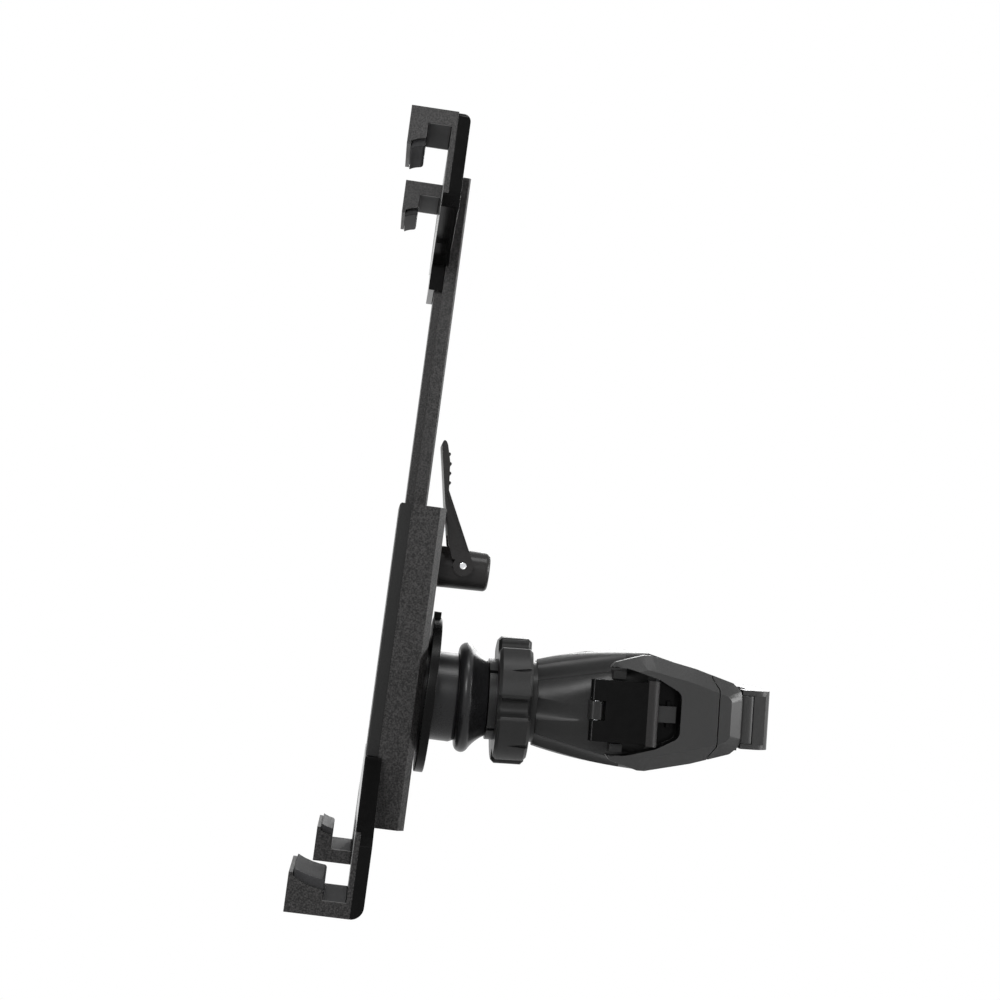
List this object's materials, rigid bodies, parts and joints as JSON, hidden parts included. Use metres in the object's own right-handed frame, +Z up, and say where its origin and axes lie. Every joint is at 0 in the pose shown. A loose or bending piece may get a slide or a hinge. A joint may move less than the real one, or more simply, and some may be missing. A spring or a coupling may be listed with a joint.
{
  "type": "tablet mount",
  "caption": "Spring-latched post clamp with a tilting, turning arm and an extending four-claw cradle for a tablet.",
  "frame": {"origin": "centre of the headrest post's grip in the clamp", "axes": "+Z up along the post, -X towards the viewer of the tablet, -Y towards the hinged side of the clamp"},
  "size_m": [0.1397, 0.124, 0.2246],
  "materials": {
    "satin_black": "satin moulded",
    "fine_black": "fine matt moulded",
    "textured_grey": "spark textured",
    "gloss_black": "polished moulded",
    "clamp_grey": "satin moulded",
    "rubber": "matt moulded",
    "steel": "zinc plated",
    "bright_steel": "ground and polished"
  },
  "bodies": {
    "arm": {"arm_body": "satin_black", "clamp_body": "clamp_grey", "far_pad": "rubber", "clamp_screws": "steel", "door_hinge_pin": "steel", "latch_hinge_pin": "steel"},
    "ring": {"ring_nut": "satin_black"},
    "socket": {"dish_socket": "fine_black", "tie_bolt": "steel", "tie_nut": "steel", "saddle_washer": "gloss_black"},
    "tilt": {"ball_dome": "fine_black", "swivel_plate": "fine_black", "pivot_screw": "steel", "pivot_cap_washer": "steel"},
    "cradle": {"sleeve_back": "textured_grey", "sleeve_front": "textured_grey", "sleeve_screws": "steel", "lower_arms": "gloss_black", "lower_near_claw": "textured_grey", "lower_near_pad": "rubber", "lower_far_claw": "textured_grey", "lower_far_pad": "rubber", "lower_claw_screws": "steel", "lock_housing": "gloss_black", "brake_springs": "steel", "swivel_washer": "gloss_black"},
    "slider": {"extension_bar": "textured_grey", "upper_arms": "gloss_black", "bar_screws": "steel", "upper_near_claw": "textured_grey", "upper_near_pad": "rubber", "upper_far_claw": "textured_grey", "upper_far_pad": "rubber", "upper_claw_screws": "steel"},
    "lever": {"lock_lever": "gloss_black", "lever_pin": "bright_steel"},
    "plunger": {"brake_plunger": "gloss_black", "brake_pad": "rubber"},
    "door": {"clamp_door": "clamp_grey", "rear_cap": "clamp_grey", "near_pad": "rubber"},
    "latch": {"latch_lever": "gloss_black", "link_pin": "steel"},
    "link": {"catch_link": "clamp_grey"}
  },
  "joints": [
    {"name": "nut_turn", "type": "hinge", "parent": "arm", "child": "ring", "pos_m": [-0.0605, 0, 0], "axis": [1, 0, 0], "range_deg": [0, 180]},
    {"name": "neck_turn", "type": "hinge", "parent": "arm", "child": "socket", "pos_m": [-0.0605, 0, 0], "axis": [1, 0, 0], "continuous": true},
    {"name": "dome_tilt", "type": "hinge", "parent": "socket", "child": "tilt", "pos_m": [-0.084, 0, 0], "axis": [0, 1, 0], "range_deg": [-18.6, 11.4]},
    {"name": "cradle_swivel", "type": "hinge", "parent": "tilt", "child": "cradle", "pos_m": [-0.084, 0, 0], "axis": [0.998, 0, -0.0628], "continuous": true},
    {"name": "bar_slide", "type": "slide", "parent": "cradle", "child": "slider", "axis": [0.0628, 0, 0.998], "range_m": [-0.062, 0.004]},
    {"name": "lever_lift", "type": "hinge", "parent": "cradle", "child": "lever", "pos_m": [-0.07872, 0, 0.04015], "axis": [0, 1, 0], "range_deg": [0, 55]},
    {"name": "plunger_slide", "type": "slide", "parent": "cradle", "child": "plunger", "axis": [0.998, 0, -0.0628], "range_m": [0, 0.001]},
    {"name": "door_swing", "type": "hinge", "parent": "arm", "child": "door", "pos_m": [0.009, -0.0185, 0], "axis": [0, 0, 1], "range_deg": [0, 60]},
    {"name": "latch_lift", "type": "hinge", "parent": "arm", "child": "latch", "pos_m": [-0.0365, -0.0206, 0], "axis": [0, 0, -1], "range_deg": [0, 110]},
    {"name": "link_swing", "type": "hinge", "parent": "latch", "child": "link", "pos_m": [-0.029, -0.0199, 0], "axis": [0, 0, 1], "range_deg": [0, 15]}
  ],
  "couplings": [
    {"joint": "plunger_slide", "follows": "lever_lift", "m_per_rad": 0.0010417},
    {"joint": "latch_lift", "follows": "door_swing", "ratio": 1.8333},
    {"joint": "link_swing", "follows": "door_swing", "ratio": 0.25}
  ]
}
